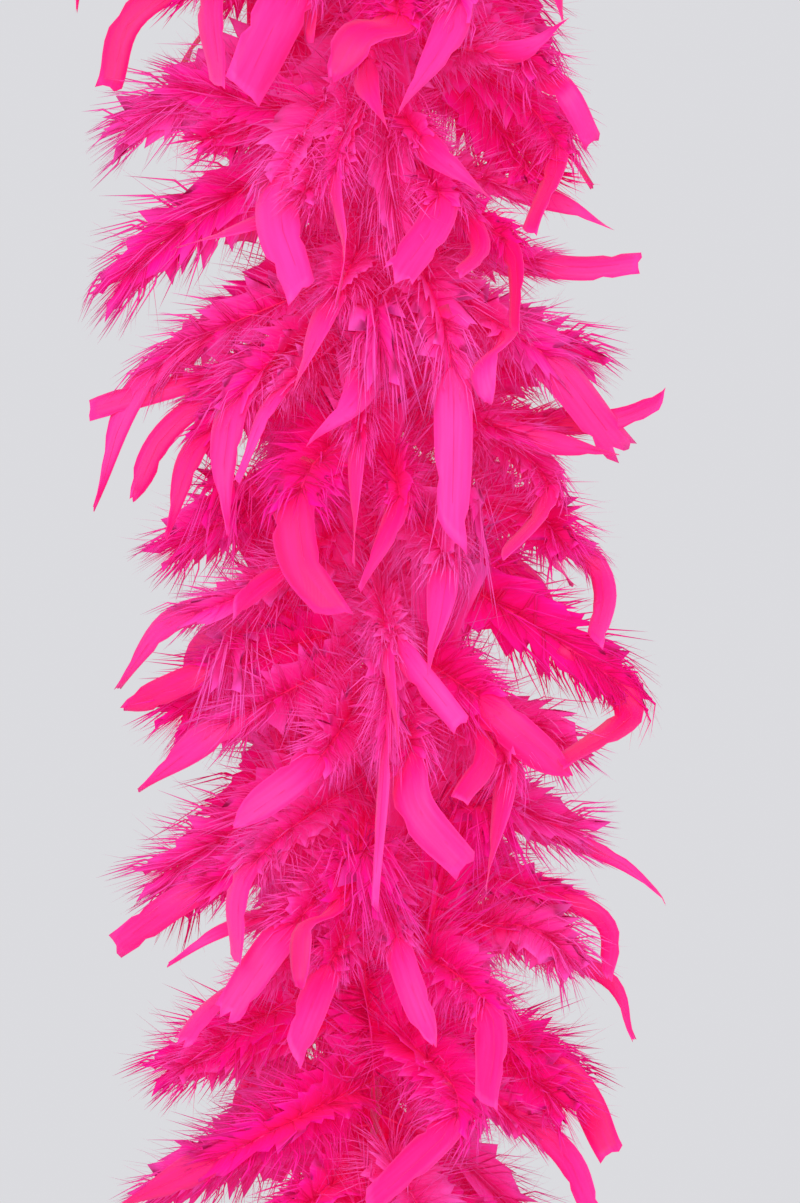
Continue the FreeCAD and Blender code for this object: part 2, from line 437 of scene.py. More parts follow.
def down_material():
    """The loose strands of the lower half, painted darker and redder towards the quill, where shade falls deep
    in the boa, and paler towards the tips, which scatter the light.
    """
    # the down glows most, painted light that lifts the shade deep in the boa
    material, shader = new_material(
        "feather_down", (0.95, 0.06, 0.30), 0.9,
        Specular_IOR_Level=0.05, Sheen_Weight=0.06, Sheen_Roughness=0.6, Sheen_Tint=(1.0, 0.4, 0.6, 1),
        Emission_Color=PAINTED_FILL_GLOW, Emission_Strength=0.24,
    )
    streak = streaks(material, 1.6, 1.2)
    # painted light and shade: darker and redder near the quill, where shade falls, and paler at the tips, which
    # scatter the light
    along = maths(material, "MULTIPLY", attribute(material, "along"), 0.42)
    shade = maths(material, "MULTIPLY", attribute(material, "shade"), 0.44)
    uneven = maths(material, "MULTIPLY", streak, 0.36)
    tone = maths(material, "ADD", maths(material, "ADD", along, shade), uneven)
    stops = [(0.2, (0.73, 0.0003, 0.13)), (0.52, (0.74, 0.006, 0.28)), (0.92, (0.72, 0.095, 0.46))]
    join(material, colour_ramp(material, tone, stops), shader.inputs["Base Color"])
    bump(material, shader, streak, 0.3, 0.0003)
    return material


def quill_material():
    """The horny stem, a little glossier than the blade."""
    # the quill glows faintly too, painted light that lifts its shadows
    material, shader = new_material("feather_quill", (1.0, 0.05, 0.36), 0.5, Specular_IOR_Level=0.3,
                                    Emission_Color=PAINTED_FILL_GLOW, Emission_Strength=0.15)
    stops = [(0.0, (0.86, 0.01, 0.15)), (1.0, (0.92, 0.02, 0.24))]
    join(material, colour_ramp(material, attribute(material, "along"), stops), shader.inputs["Base Color"])
    return material


BLADE, DOWN, QUILL = 0, 1, 2
feather_materials = [blade_material(), down_material(), quill_material()]

# %% [markdown]
# ## One feather, laid flat
#
# A pattern feather lies along +X with its quill end at the origin: first down, then the blade. The quill is
# a thin cone. The blade is a grid pushed into outline and given thickness. Each strand of down is a pointed
# sliver, cut across so that it can curve. We make a few patterns of each kind of tip, and later bend
# copies of them into place, so a pattern is drawn once and used some sixteen times.

# %% Slivers
FEATHER_LENGTH = 0.110
PATTERN_SEED = 11


def smooth_step(value, low, high):
    """0 below low, 1 above high, and an even curve between them."""
    share = min(max((value - low) / (high - low), 0.0), 1.0)
    return share * share * (3 - 2 * share)


def sliver(cuts):
    """A closed three-sided sliver along +Z from 0 to 1, cut across so that it can bend."""
    bm = bmesh.new()
    bmesh.ops.create_cone(bm, cap_ends=True, cap_tris=False, segments=3, radius1=0.5, radius2=0, depth=1)
    bmesh.ops.translate(bm, verts=bm.verts, vec=(0, 0, 0.5))
    for height in cuts:
        everything = bm.verts[:] + bm.edges[:] + bm.faces[:]
        bmesh.ops.bisect_plane(bm, geom=everything, plane_co=(0, 0, height), plane_no=(0, 0, 1))
    mesh = bpy.data.meshes.new("sliver")
    for face in bm.faces:
        face.smooth = True
        face.material_index = DOWN
    bm.to_mesh(mesh)
    bm.free()
    return mesh


strand_sliver = sliver((0.5,))
hair_sliver = sliver(())
print("a strand of down has", len(strand_sliver.polygons), "faces and a hair", len(hair_sliver.polygons))


# %% [markdown]
# ## Down
#
# A strand leaves the quill at an angle and bows towards the feather's tip. Near the quill the strands cling
# together in a soft web, which is a thin sheet on each side with a ragged edge. Past it they part into
# strands and hairs, in small locks whose tips lean together. Each web and each lock is lifted out of the
# feather's plane by its own angle, so the down has depth.

# %% Down
DOWN_LENGTH = 0.027
WIDER_START = 0.42  # how much wider than its tip's angle a strand starts out, in radians
STRAND_THICKNESS = 0.00022
WEB_THICKNESS = 0.00015


def leaving(angle, side, lift):
    """The way a strand leaves the quill, by its angle to it, its side and how far it lifts."""
    return Vector((math.cos(angle), side * math.sin(angle) * math.cos(lift), math.sin(angle) * math.sin(lift)))


def bowed(root, angle, side, lift, length):
    """The three points of a strand that starts out wide and bows towards the feather's tip."""
    control = root + leaving(angle + WIDER_START, side, lift) * (length * 0.5)
    return root, control, root + leaving(angle, side, lift) * length


def along_bow(points, along):
    """The place on a bow, at a share of its length."""
    root, control, tip = points
    return root * (1 - along) ** 2 + control * (2 * along * (1 - along)) + tip * along**2


def down_course(share, blade):
    """The angle and length of the down at a share of its stretch of the quill."""
    angle = math.radians(80 - (48 if blade else 60) * share)
    length = DOWN_LENGTH * (0.75 + 0.35 * math.sin(math.pi * (0.2 + 0.6 * share)))
    return angle, length * (1 - (0.28 if blade else 0.10) * share)


def add_strand(bm, layers, blank, points, width, thickness):
    """Bend one sliver along a bow."""
    root, control, tip = points
    first = len(bm.verts)
    bm.from_mesh(blank)
    bm.verts.ensure_lookup_table()
    flat = Vector((0, 0, 1))
    for vert in bm.verts[first:]:
        across, through, along = vert.co
        heading = (control - root) * (1 - along) + (tip - control) * along
        side = heading.cross(flat).normalized()
        # a plain cone is too thin half way, so it is fattened there
        fuller = 1 + 1.3 * along
        vert.co = along_bow(points, along) + side * (across * width * fuller)
        vert.co += side.cross(heading).normalized() * (through * thickness * fuller)
        vert[layers["along"]] = along
        vert[layers["across"]] = across * width / MM


# For each part of a lock: its blank, how far it strays sideways and in lift, the range of its length, how
# far its tip leans to the lock's own, and its width.
LOCK_PARTS = {
    "strands": (strand_sliver, 0.20, 0.50, (0.75, 1.15), 0.25, 0.0009),
    "hairs": (hair_sliver, 0.42, 0.95, (0.6, 1.15), 0.14, 0.00034),
}


def add_lock(bm, layers, start, end, side, angle, lift, length, grade, rng):
    """One lock of down on one side of the quill, between two places along it."""
    turn, raised = angle + rng.normal(0, 0.13), lift + rng.normal(0, 0.35)
    lock_tip = Vector(((start + end) / 2, 0, 0)) + leaving(turn, side, raised) * length
    for part, (blank, stray, stray_lift, lengths, lean, width) in LOCK_PARTS.items():
        for number in range(grade[part]):
            place = start + (end - start) * (number + rng.uniform(0.2, 0.8)) / grade[part]
            root = Vector((place, side * 0.0002, 0))
            own_turn, own_raised = turn + rng.normal(0, stray), raised + rng.normal(0, stray_lift)
            root, control, tip = bowed(root, own_turn, side, own_raised, length * rng.uniform(*lengths))
            add_strand(bm, layers, blank, (root, control, tip.lerp(lock_tip, lean)), width, STRAND_THICKNESS)


def add_web(bm, layers, start, end, side, lift, blade, grade, rng):
    """The soft inner down of one side as a thin closed sheet with a ragged edge."""
    rows, columns = grade["web_rows"], 3
    grid = bmesh.ops.create_grid(bm, x_segments=rows, y_segments=columns, size=0.5)["verts"]
    ragged, strayed = rng.uniform(0.36, 0.74, rows + 1), rng.normal(0, 0.09, rows + 1)
    ragged[1::2] *= 0.72  # every other row ends early, so the edge comes to points and not to petals
    sway, phase = rng.uniform(0.2, 0.5), rng.uniform(0, 6)
    for vert in grid:
        share, out = vert.co.x + 0.5, vert.co.y + 0.5
        row = round(share * rows)
        angle, length = down_course(share, blade)
        raised = lift + sway * math.sin(phase + 5 * share)
        root = Vector((start + (end - start) * share, side * 0.0002, 0))
        vert.co = along_bow(bowed(root, angle + strayed[row] * out, side, raised, length * ragged[row]), out)
        vert[layers["along"]] = out * ragged[row]
        vert[layers["across"]] = root.x / MM
    faces = list({face for vert in grid for face in vert.link_faces})
    for face in faces:
        face.material_index = DOWN
    bmesh.ops.solidify(bm, geom=faces, thickness=WEB_THICKNESS)


# %% [markdown]
# ## Blades
#
# Chandelle feathers are cut and trimmed turkey flats, so their tips differ: some are cut blunt, some are
# round, pointed or cut at a slant, and some have frayed into strips. A function of the place along the
# blade gives its half width, and the grid follows it. The blade is slightly gutter-shaped, which keeps it
# stiff and gives it a soft light and dark side.

# %% Blades
BLADE_START = 0.44  # where the blade begins, as a share of the feather's length
HALF_WIDTH = 0.0068
BLADE_THICKNESS = 0.00022
FRAYED_TIP, CLEAN_TIP = 0.0035, 0.0008  # how far the barbs at the tip end apart
QUILL_RADIUS, QUILL_TIP_RADIUS = 0.00055, 0.00005
QUILL_LENGTHS = 8


def blade_half_width(place, kind):
    """Half width of the blade at a place from 0 at its base to 1 at its tip, as a share of the widest."""
    opening = 0.55 + 0.45 * smooth_step(place, 0.0, 0.35)
    if kind == "point":
        return opening * (1 - 0.96 * smooth_step(place, 0.45, 1.06))
    if kind == "round":
        return opening * math.sqrt(max(1 - smooth_step(place, 0.66, 1.02) ** 2, 0.01))
    if kind == "slant":
        return opening * (1 - 0.30 * smooth_step(place, 0.6, 1.0))
    return opening * (1 - 0.15 * smooth_step(place, 0.7, 1.0))


def add_blade(bm, layers, kind, rng):
    """The smooth end of the feather as a thin closed plate."""
    rows, columns = 16, 6 if kind == "frayed" else 4
    grid = bmesh.ops.create_grid(bm, x_segments=rows, y_segments=columns, size=0.5)["verts"]
    start, length = BLADE_START * FEATHER_LENGTH, (1 - BLADE_START) * FEATHER_LENGTH
    lean = {"slant": 0.9, "point": 0.35}.get(kind, 0.15) * rng.choice((-1, 1))
    narrow_side = rng.uniform(0.6, 1.0)
    fray = rng.uniform(-1, 1, columns + 1)
    notches = {1: rng.integers(5, rows - 1), -1: rng.integers(5, rows - 1)}
    for vert in grid:
        along, across = vert.co.x + 0.5, vert.co.y * 2
        row, column = round(along * rows), round((across + 1) / 2 * columns)
        half = HALF_WIDTH * blade_half_width(along, kind)
        if across > 0:
            half *= narrow_side
        if abs(across) > 0.9 and row == notches[1 if across > 0 else -1]:
            half *= 0.8
        x = start + along * length + lean * across * half * along
        if row == rows:
            x += fray[column] * (FRAYED_TIP if kind == "frayed" else CLEAN_TIP)
        y = across * half
        vert.co = (x, y, -20 * y * y + 0.0015 * math.sin(3 * along + narrow_side * 9) * across)
        vert[layers["along"]] = x / FEATHER_LENGTH
        vert[layers["across"]] = y / MM
        # how near the edge or the tip a place is, which the painted edge highlight reads
        vert[layers["rim"]] = max(abs(across), 2 * along - 1)
    faces = list({face for vert in grid for face in vert.link_faces})
    for face in faces:
        face.material_index = BLADE
    solid = bmesh.ops.solidify(bm, geom=faces, thickness=BLADE_THICKNESS)["geom"]
    for vert in (part for part in solid if isinstance(part, bmesh.types.BMVert)):
        vert[layers["along"]] = vert.co.x / FEATHER_LENGTH
        vert[layers["across"]] = vert.co.y / MM


def add_quill(bm, layers, length):
    """The stem, a thin cone cut into short lengths so that it can bend."""
    made = bmesh.ops.create_cone(bm, cap_ends=True, segments=4, radius1=QUILL_RADIUS,
                                 radius2=QUILL_TIP_RADIUS, depth=length)["verts"]
    bmesh.ops.rotate(bm, verts=made, cent=(0, 0, 0), matrix=Matrix.Rotation(math.pi / 2, 3, "Y"))
    bmesh.ops.translate(bm, verts=made, vec=(length / 2, 0, 0.0001))
    geometry = set(made) | {edge for vert in made for edge in vert.link_edges}
    geometry |= {face for vert in made for face in vert.link_faces}
    for cut in range(1, QUILL_LENGTHS):
        place = (length * cut / QUILL_LENGTHS, 0, 0)
        made = bmesh.ops.bisect_plane(bm, geom=list(geometry), plane_co=place, plane_no=(1, 0, 0))
        geometry |= set(made["geom"]) | set(made["geom_cut"])
    for part in geometry:
        if isinstance(part, bmesh.types.BMFace):
            part.material_index = QUILL
        elif isinstance(part, bmesh.types.BMVert):
            part[layers["along"]] = part.co.x / length


# %% [markdown]
# ## The whole pattern feather
#
# Down grows from just above the quill's end to the base of the blade. It stands out widest near the cord and
# lies closer towards the blade. Where the blade begins, stiffer strands run out from its edges and break
# the outline into fine spikes. A plume is a feather with hardly any blade: it is all down. Feathers that hang
# near the viewer are made from finer patterns, with more and thinner locks of down.

# %% Pattern feathers
DOWN_START = 0.08
FINE = {"locks": 15, "strands": 5, "hairs": 11, "web_rows": 25}
PLAIN = {"locks": 11, "strands": 3, "hairs": 6, "web_rows": 11}


def feather_pattern(kind, seed, grade):
    """One flat feather as a mesh, with the values that its finish reads."""
    rng = np.random.default_rng(seed)
    bm = bmesh.new()
    layers = {name: bm.verts.layers.float.new(name) for name in ("along", "across", "rim", "shade")}
    blade = kind != "plume"
    add_quill(bm, layers, FEATHER_LENGTH * (0.92 if blade else 0.76))
    if blade:
        add_blade(bm, layers, kind, rng)
    down_end, locks = (0.60, grade["locks"]) if blade else (0.78, grade["locks"] + 3)
    spread = (down_end - DOWN_START) / locks
    for side in (1, -1):
        for lift in (rng.normal(0.45, 0.2), rng.normal(-0.35, 0.2)):
            add_web(bm, layers, DOWN_START * FEATHER_LENGTH, down_end * FEATHER_LENGTH, side, lift, blade,
                    grade, rng)
        for lock in range(locks):
            share = lock / (locks - 1)
            place = DOWN_START + spread * lock
            angle, length = down_course(share, blade)
            lift = rng.normal(0, 0.7 * (1 - 0.5 * share))
            add_lock(bm, layers, place * FEATHER_LENGTH, (place + spread) * FEATHER_LENGTH, side, angle, lift,
                     length, grade, rng)
        for step in range(grade["locks"] - 3 if blade else 0):
            place = BLADE_START + 0.02 + 0.22 * step / grade["locks"]
            edge = HALF_WIDTH * blade_half_width((place - BLADE_START) / (1 - BLADE_START), kind)
            root = Vector((place * FEATHER_LENGTH, side * edge * 0.5, -0.0002))
            turn = math.radians(rng.uniform(14, 32))
            spike = bowed(root, turn, side, rng.normal(0, 0.3), rng.uniform(0.010, 0.018))
            add_strand(bm, layers, strand_sliver, spike, 0.0008, 0.0002)
    mesh = bpy.data.meshes.new(f"pattern_{kind}_{seed}")
    bmesh.ops.recalc_face_normals(bm, faces=bm.faces)
    for face in bm.faces:
        face.smooth = True
    bm.to_mesh(mesh)
    bm.free()
    for material in feather_materials:
        mesh.materials.append(material)
    return mesh


KINDS = ("blunt", "round", "point", "slant", "frayed", "plume")
PATTERNS_OF_A_KIND = 3


def pattern_set(grade, seed):
    """A few patterns of every kind."""
    return {
        kind: [feather_pattern(kind, seed + 10 * number + copy, grade) for copy in range(PATTERNS_OF_A_KIND)]
        for number, kind in enumerate(KINDS)
    }


fine_patterns, plain_patterns = pattern_set(FINE, PATTERN_SEED), pattern_set(PLAIN, PATTERN_SEED + 100)
for name, patterns in (("fine", fine_patterns), ("plain", plain_patterns)):
    for kind in ("slant", "plume"):
        patterns[kind][0].calc_loop_triangles()
        print(name, kind, "feather:", len(patterns[kind][0].loop_triangles), "triangles")

# %% [markdown]
# ## Bending a feather along a line
#
# A feather is stiff at the quill and gives towards the tip. Its copy is laid along a smooth line through a few
# points: every vertex keeps its distance from the quill, and takes its place from the line. facing says
# which way the blade's outer side looks, and the two rolls twist the feather about its quill.

# %% Bending
LINE_STEPS = 33
FULL_WIDTH = 0.095  # how far from the cord a feather may reach
KEPT_BEYOND = 0.35  # what is kept of its reach beyond that


def smooth_line(points):
    """Evenly spaced places and headings on a smooth line through the points."""
    points = np.array(points, float)
    ends = np.vstack([2 * points[0] - points[1], points, 2 * points[-1] - points[-2]])
    line = []
    for before, here, there, after in zip(ends, ends[1:], ends[2:], ends[3:]):
        square = 2 * before - 5 * here + 4 * there - after
        cube = 3 * here - before - 3 * there + after
        for step in np.linspace(0, 1, LINE_STEPS, endpoint=False):
            line.append(0.5 * (2 * here + (there - before) * step + square * step**2 + cube * step**3))
    line = np.array(line + [points[-1]])
    distance = np.concatenate([[0], np.cumsum(np.linalg.norm(np.diff(line, axis=0), axis=1))])
    even = np.linspace(0, distance[-1], LINE_STEPS)
    places = np.column_stack([np.interp(even, distance, line[:, axis]) for axis in range(3)])
    headings = np.gradient(places, axis=0)
    return places, headings / np.linalg.norm(headings, axis=1)[:, None], distance[-1]


def steady_sides(headings, facing):
    """The feather's sideways direction all along the line, carried back from its tip so that it never flips."""
    sides = np.empty_like(headings)
    side = np.cross(np.array(facing, float), headings[-1])
    for step in reversed(range(len(headings))):
        side = side - headings[step] * (side @ headings[step])
        side /= np.linalg.norm(side)
        sides[step] = side
    return sides


def along_line(values, share):
    """Values at the line's even steps, read off at each vertex's share of the line."""
    knots = np.linspace(0, 1, LINE_STEPS)
    return np.column_stack([np.interp(share, knots, values[:, axis]) for axis in range(3)])


def trimmed(places):
    """Bring in whatever stands out beyond the boa's full width."""
    reach = np.hypot(places[:, 0], places[:, 1])
    kept = np.where(reach > FULL_WIDTH, FULL_WIDTH + KEPT_BEYOND * (reach - FULL_WIDTH), reach)
    places[:, :2] *= (kept / np.maximum(reach, 1e-6))[:, None]
    return places


def bent_feather(pattern, points, facing, rolls, width, shade):
    """A copy of a pattern feather along a smooth line, as a loose object."""
    mesh = pattern.copy()
    places, headings, line_length = smooth_line(points)
    sides = steady_sides(headings, facing)
    flat = np.empty(len(mesh.vertices) * 3, np.float32)
    mesh.vertices.foreach_get("co", flat)
    flat = flat.reshape(-1, 3).astype(float)
    share = flat[:, 0] / FEATHER_LENGTH
    inside = np.clip(share, 0, 1)
    heading, side = along_line(headings, inside), along_line(sides, inside)
    place = along_line(places, inside) + heading * ((share - inside) * line_length)[:, None]
    outward = np.cross(heading, side)
    roll = rolls[0] + (rolls[1] - rolls[0]) * inside
    across, through = flat[:, 1] * width, flat[:, 2]
    turned_across = across * np.cos(roll) - through * np.sin(roll)
    turned_through = across * np.sin(roll) + through * np.cos(roll)
    bent = trimmed(place + side * turned_across[:, None] + outward * turned_through[:, None])
    mesh.vertices.foreach_set("co", bent.astype(np.float32).ravel())
    mesh.attributes["shade"].data.foreach_set("value", np.full(len(flat), shade, np.float32))
    feather = bpy.data.objects.new("feather", mesh)
    bpy.context.scene.collection.objects.link(feather)
    return feather


# %% [markdown]
# ## Where each feather grows
#
# Quills sit every few millimetres along the cord, each turned on by the angle that never lines up again, so
# that they cover it evenly. A feather starts out nearly level and bows down under its own weight.

# %% Growth along the cord
QUILL_PITCH = 0.00305
QUILL_TURN = math.radians(137.508)
BARE_END = 0.016

rng = np.random.default_rng(5)
quill_heights = np.arange(cord_top - BARE_END, cord_bottom + BARE_END, -QUILL_PITCH)
print(len(quill_heights), "feathers")


def hanging_points(height, around, length, first_droop, last_droop, drift):
    """Points of a feather that leaves the cord at one height and angle and bows down."""
    points = [Vector((cord_radius * math.cos(around), cord_radius * math.sin(around), height))]
    steps = 5
    for step in range(steps):
        share = (step + 0.5) / steps
        droop = first_droop + (last_droop - first_droop) * share**0.8
        turn = around + drift * share
        heading = Vector((math.cos(droop) * math.cos(turn), math.cos(droop) * math.sin(turn), -math.sin(droop)))
        points.append(points[-1] + heading * (length / steps))
    return points


def grown_feather(height, around, kind, length, patterns):
    """A feather that hangs as chance has it."""
    first = math.radians(rng.normal(16, 12))
    last = math.radians(rng.normal(58, 17))
    drift = rng.normal(0, 0.25)
    points = hanging_points(height, around, length, first, last, drift)
    facing = Vector((math.cos(around), math.sin(around), 1.0)).normalized()
    roll = rng.normal(0, 0.5)
    return bent_feather(
        patterns[kind][rng.integers(PATTERNS_OF_A_KIND)], points, facing,
        (roll, roll + rng.normal(0, 0.6)), rng.uniform(0.8, 1.15), rng.uniform(0, 1),
    )


# %% [markdown]
# ## The feathers that face the viewer
#
# In the part of the boa that the camera sees, the feathers are arranged one by one, as a maker would comb them.
# Each is given in millimetres, to the side of the cord and above the boa's middle: where it comes out of the
# down, where its tip is, how wide it is and how it is cut. Some turn on the way, and have a point to bend
# through. A plume rises out of the down more gently than a blade does.

# %% Combed feathers
# blade base x, z; tip x, z; width; cut; twist in degrees; point to bend through or nothing
COMBED = [
    # the lowest, which hang on below the part that the camera sees
    (-30, -210, -44, -254, 13, "round", 10, None),
    (-6, -218, -2, -262, 12, "point", 15, None),
    (20, -214, 30, -258, 14, "slant", 0, None),
    (45, -222, 60, -262, 11, "blunt", 10, None),
    (-52, -226, -72, -262, 11, "point", 0, None),
    (6, -240, 14, -292, 12, "slant", 20, None),
    (-22, -248, -32, -298, 12, "blunt", 0, None),
    (34, -250, 44, -296, 12, "round", 0, None),
    (-48, -256, -64, -296, 12, "slant", 0, None),
    (4, -264, -6, -312, 12, "point", 0, None),
    # blades, from the top
    (-75, 200, -89, 171, 11, "blunt", 10, None),
    (-96, 226, -108, 197, 8, "round", 0, None),
    (-26, 206, -44, 170, 17, "blunt", -20, None),
    (-50, 212, -52, 172, 12, "slant", 25, None),
    (8, 195, -14, 174, 15, "round", 10, (-4, 190)),
    (28, 202, 8, 163, 12, "point", -15, None),
    (-3, 176, 4, 158, 10, "point", 0, None),
    (-40, 160, -70, 150, 12, "plume", 0, None),
    (-16, 146, -30, 128, 12, "plume", 0, None),
    (-13, 146, -13, 98, 9, "slant", 70, (-10, 118)),
    (-14, 100, -28, 68, 11, "point", 15, None),
    (18, 152, 39, 134, 10, "point", 0, None),
    (44, 183, 64, 194, 9, "point", 15, None),
    (53, 178, 73, 153, 9, "blunt", 10, (64, 170)),
    (58, 158, 52, 123, 12, "slant", 20, None),
    (56, 135, 79, 124, 8, "point", 10, None),
    (60, 112, 88, 113, 9, "blunt", 10, None),
    (-37, 127, -66, 118, 9, "point", 10, None),
    (-31, 140, -24, 104, 16, "slant", 0, None),
    (22, 134, 8, 108, 13, "frayed", 0, None),
    (34, 124, 28, 109, 7, "round", 30, None),
    (43, 121, 47, 90, 9, "slant", 30, None),
    (42, 92, 38, 66, 11, "round", 40, (36, 80)),
    (-73, 78, -94, 31, 10, "point", 0, None),
    (-75, 70, -96, 64, 8, "blunt", 20, None),
    (-64, 62, -81, 34, 9, "round", 10, None),
    (-54, 58, -70, 21, 10, "point", 10, None),
    (-41, 74, -49, 22, 12, "point", 0, (-50, 50)),
    (-32, 70, -46, 40, 7, "point", 45, None),
    (-3, 74, -22, 53, 12, "point", -10, None),
    (-5, 58, -7, 12, 8, "point", 35, None),
    (-23, 42, -12, -4, 17, "slant", 0, (-24, 15)),
    (8, 34, -5, 4, 9, "point", 15, None),
    (50, 87, 82, 51, 15, "frayed", 0, None),
    (52, 55, 81, 49, 8, "point", 15, None),
    (73, 60, 97, 68, 8, "slant", 10, None),
    (24, 88, 26, 21, 13, "slant", 10, None),
    (56, 42, 43, 14, 10, "round", 20, None),
    (64, 19, 73, -13, 8, "slant", 40, (76, 6)),
    (-47, 1, -86, -29, 9, "point", 10, (-70, -8)),
    (-35, 8, -47, -2, 7, "slant", 0, None),
    (-54, -23, -84, -36, 10, "round", 0, None),
    (-48, -40, -79, -63, 12, "point", 0, None),
    (-20, -54, -47, -75, 13, "round", -10, None),
    (4, -28, 0, -102, 7, "point", 50, None),
    (4, -16, 9, -53, 7, "slant", 60, None),
    (23, 15, 18, -24, 13, "point", 0, None),
    (8, -14, 29, -41, 9, "blunt", 20, None),
    (56, -10, 62, -54, 13, "slant", 15, (86, -35)),
    (36, -33, 65, -58, 14, "round", 0, None),
    (11, -47, 31, -88, 14, "blunt", 0, (14, -68)),
    (36, -44, 28, -66, 7, "blunt", 30, None),
    (42, -49, 37, -97, 11, "point", 30, None),
    (72, -82, 99, -101, 6, "point", 10, None),
    (-57, -95, -87, -115, 10, "blunt", 0, None),
    (-47, -108, -69, -121, 6, "point", 10, None),
    (-41, -88, -46, -120, 10, "slant", 30, None),
    (-29, -110, -49, -138, 13, "frayed", 0, None),
    (-12, -100, -25, -129, 9, "round", 50, (-24, -108)),
    (-17, -125, -27, -151, 11, "slant", 0, None),
    (8, -115, 20, -148, 10, "round", 0, None),
    (71, -102, 78, -126, 7, "round", 20, None),
    (72, -122, 86, -146, 8, "point", 30, None),
    (61, -155, 79, -184, 12, "blunt", 10, None),
    (37, -134, 38, -168, 13, "slant", 0, None),
    (28, -168, -2, -202, 14, "slant", 0, None),
    (-41, -180, -86, -202, 12, "point", 0, None),
    (57, -178, 72, -203, 9, "slant", 20, None),
    (-52, -150, -75, -161, 12, "plume", 0, None),
    (-48, -130, -64, -147, 9, "frayed", 20, None),
    # tufts of down at the left side, from the top
    (-60, 170, -104, 145, 14, "plume", 0, None),
    (-35, 165, -82, 176, 14, "plume", 0, None),
    (-64, 125, -104, 88, 14, "plume", 0, None),
    (-60, 22, -82, 5, 14, "plume", 0, None),
    (-55, -30, -80, -52, 14, "plume", 0, None),
    (-55, -82, -92, -98, 14, "plume", 0, None),
    (-50, -145, -86, -164, 14, "plume", 0, None),
    # tufts of down at the right side, from the top
    (40, 192, 62, 168, 14, "plume", 0, None),
    (46, 152, 66, 138, 14, "plume", 0, None),
    (54, 84, 86, 70, 14, "plume", 0, None),
    (50, 30, 68, 10, 14, "plume", 0, None),
    (50, -40, 72, -62, 14, "plume", 0, None),
    (50, -70, 84, -84, 14, "plume", 0, None),
    (50, -108, 74, -132, 14, "plume", 0, None),
    (50, -158, 72, -178, 14, "plume", 0, None),
    # tufts of down in front, from the top
    (5, 142, 13, 104, 14, "plume", 0, None),
    (0, 96, 5, 48, 15, "plume", 0, None),
    (-42, 36, -58, 6, 14, "plume", 0, None),
    (26, 32, 32, -12, 14, "plume", 0, None),
    (-42, -14, -52, -50, 14, "plume", 0, None),
    (32, -70, 46, -98, 14, "plume", 0, None),
    (-5, -84, 10, -120, 14, "plume", 0, None),
]
DOWN_DEPTH = 0.060  # how far from the cord the blades come out of the down
PLUME_DEPTH = 0.042
TIP_DEPTH = 0.082
ABOVE_VIEW, BELOW_VIEW = 0.06, 0.05  # how far past the camera's view the combing goes on
TURN_COST = 0.010  # a radian round the cord counts like this much height
FRONT_LIMIT = 0.5  # sine of the angle up to which a quill still counts as facing the viewer
PATTERN_WIDTH_MM = 2 * HALF_WIDTH / MM


def combed_points(base, tip, through, height, depth):
    """Points from the cord to the tip, set forward so that the feather lies on the boa's round front."""

    def set_forward(spot, depth):
        x, z = spot[0] * MM, spot[1] * MM
        forward = math.sqrt(max(depth**2 - x**2, 0.008**2))
        nearer = (CAMERA_DISTANCE - forward) / CAMERA_DISTANCE
        return Vector((x * nearer, -forward, middle_height + z * nearer))

    points = [set_forward(base, depth), set_forward(tip, TIP_DEPTH)]
    if through:
        points.insert(1, set_forward(through, (depth + TIP_DEPTH) / 2 + 0.006))
    around = math.atan2(points[0].y, points[0].x)
    root = Vector((cord_radius * math.cos(around), cord_radius * math.sin(around), height))
    return [root] + points


def root_height(base, tip):
    """How high above the blade's base its quill is caught: more for a feather that hangs steeply."""
    span = math.hypot(tip[0] - base[0], tip[1] - base[1])
    return middle_height + base[1] * MM + DOWN_DEPTH * (0.12 + 0.42 * (base[1] - tip[1]) / span)


def nearest_free(height, around, free):
    """The quill of the boa's front that lies nearest to a height and angle."""
    def apart(number):
        turn = (number * QUILL_TURN - around + math.pi) % (2 * math.pi) - math.pi
        return abs(quill_heights[number] - height) + TURN_COST * abs(turn)
    return min(free, key=apart)


def faces_viewer(number):
    """True for a quill that points to the front or well to a side."""
    return math.sin(number * QUILL_TURN) < FRONT_LIMIT


view_top = middle_height + VIEW_HEIGHT / 2 + ABOVE_VIEW
view_bottom = middle_height - VIEW_HEIGHT / 2 - BELOW_VIEW
in_view = {number for number, height in enumerate(quill_heights) if view_bottom < height < view_top}
free = {number for number in in_view if faces_viewer(number)}
combed = {}
for base_x, base_z, tip_x, tip_z, width, kind, twist, through in COMBED:
    base, tip = (base_x, base_z), (tip_x, tip_z)
    height = root_height(base, tip)
    number = nearest_free(height, math.atan2(-max(DOWN_DEPTH - abs(base_x) * MM, 0.01), base_x * MM), free)
    free.discard(number)
    depth = PLUME_DEPTH if kind == "plume" else DOWN_DEPTH
    points = combed_points(base, tip, through, quill_heights[number], depth)
    combed[number] = (points, width, kind, math.radians(twist))
print(len(combed), "combed feathers,", len(free), "quills in front left for plumes")

# %% [markdown]
# ## Growing the boa
#
# Every quill gets its feather. Feathers that hang over the same bend are joined into one piece that lies across
# it. The stiff middle of each segment is a piece of its own, as it is in the frame.

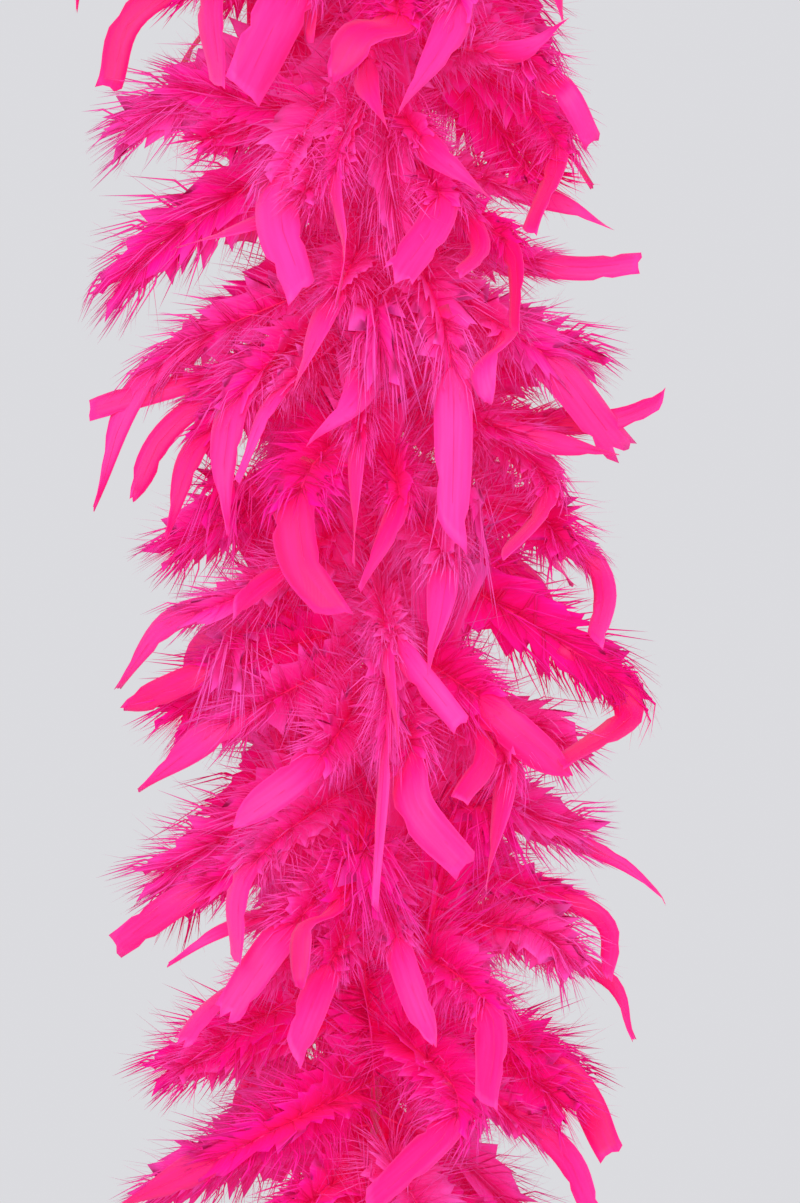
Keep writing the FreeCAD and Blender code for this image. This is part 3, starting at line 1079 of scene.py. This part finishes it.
# %% Feathers, quill by quill
BACK_KINDS = ("blunt", "round", "point", "slant", "frayed", "point", "slant", "plume", "plume")
NEAR_BEND = 0.033  # a feather nearer than this to a hinge always goes into the piece over that hinge
groups = {}
for number, height in enumerate(quill_heights):
    around = number * QUILL_TURN
    patterns = fine_patterns if number in in_view else plain_patterns
    segment = min(int((cord_top - height) / segment_length), len(segments) - 1)
    depth = (cord_top - height) - segment * segment_length
    if number in combed:
        points, width, kind, twist = combed[number]
        feather = bent_feather(
            patterns[kind][rng.integers(PATTERNS_OF_A_KIND)], points, (0.0, -1.0, 0.25),
            (rng.normal(0, 0.4), twist), width / PATTERN_WIDTH_MM, rng.uniform(0.2, 1),
        )
    elif number in free:
        feather = grown_feather(height, around, "plume", rng.uniform(0.095, 0.115), patterns)
    else:
        kind = BACK_KINDS[rng.integers(len(BACK_KINDS))]
        feather = grown_feather(height, around, kind, rng.uniform(0.095, 0.120), patterns)
    if NEAR_BEND < depth < segment_length - NEAR_BEND and number % 2 == 0:
        key = ("middle", segment)
    else:
        key = ("bend", segment - 1 if depth < segment_length / 2 else segment)
    groups.setdefault(key, []).append(feather)

# %% [markdown]
# ## Joining them up
#
# `join` turns the loose feathers of a group into one mesh, which keeps its materials and its values.

# %% Feather pieces
total = 0
for (place, number), feathers in sorted(groups.items()):
    loose = [feather.data for feather in feathers]
    with bpy.context.temp_override(active_object=feathers[0], selected_objects=feathers,
                                   selected_editable_objects=feathers):
        bpy.ops.object.join()
    piece = feathers[0]
    for mesh in loose[1:]:
        bpy.data.meshes.remove(mesh)
    if place == "middle":
        piece.name = f"feathers_{number + 1:02d}_middle_of_segment"
        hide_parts(f"feathers_{number + 1:02d}_middle")
    else:
        piece.name = f"feathers_{number + 1:02d}_over_bend"
        over = [(number + 1, "lower"), (number + 2, "upper")]
        names = [f"feathers_{segment:02d}_{half}" for segment, half in over]
        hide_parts(*[name for name in names if name in frame["nodes"]])
    follow_the_bend(piece, number)
    piece.data.calc_loop_triangles()
    total += len(piece.data.loop_triangles)
print(len(groups), "feather pieces,", total, "triangles")

# %% [markdown]
# ## Floor and light
#
# The boa hangs over a plain pale floor, with pale open space all round it. A large soft light in front and
# a little above lights the feathers evenly, so their edges fall off gently to the sides, and a dim one on
# the right keeps the other side open.

# %% Stage and lights


FLOOR_BELOW = 0.06  # how far under the boa's lower end the floor lies

floor_material = new_material("pale_floor", (0.76, 0.76, 0.77), 0.9)[0]
bm = bmesh.new()
bmesh.ops.create_grid(bm, x_segments=1, y_segments=1, size=3.0)
bmesh.ops.translate(bm, verts=bm.verts, vec=(0, 0, cad_box[0][2] - FLOOR_BELOW))
finish_piece("floor", bm, [floor_material])


def soft_light(name, size, power, place, aim):
    """A square area light at a place, turned to its aim."""
    lamp = bpy.data.lights.new(name, "AREA")
    lamp.size, lamp.energy = size, power
    light = bpy.data.objects.new(name, lamp)
    bpy.context.scene.collection.objects.link(light)
    light.location = place
    light.rotation_euler = (Vector(aim) - Vector(place)).to_track_quat("-Z", "Y").to_euler()
    return light


aim = (0, 0, middle_height)
soft_light("front_light", 2.2, 39, (-0.3, -2.0, middle_height + 0.6), aim)
soft_light("side_light", 1.2, 6, (1.8, -1.0, middle_height + 0.2), aim)
world = bpy.data.worlds.new("studio")
bpy.context.scene.world = world
world.use_nodes = True
world.node_tree.nodes["Background"].inputs["Color"].default_value = (0.96, 0.96, 1.0, 1)
world.node_tree.nodes["Background"].inputs["Strength"].default_value = 0.74
bpy.context.scene.view_settings.view_transform = "Standard"
print("stage and lights set")
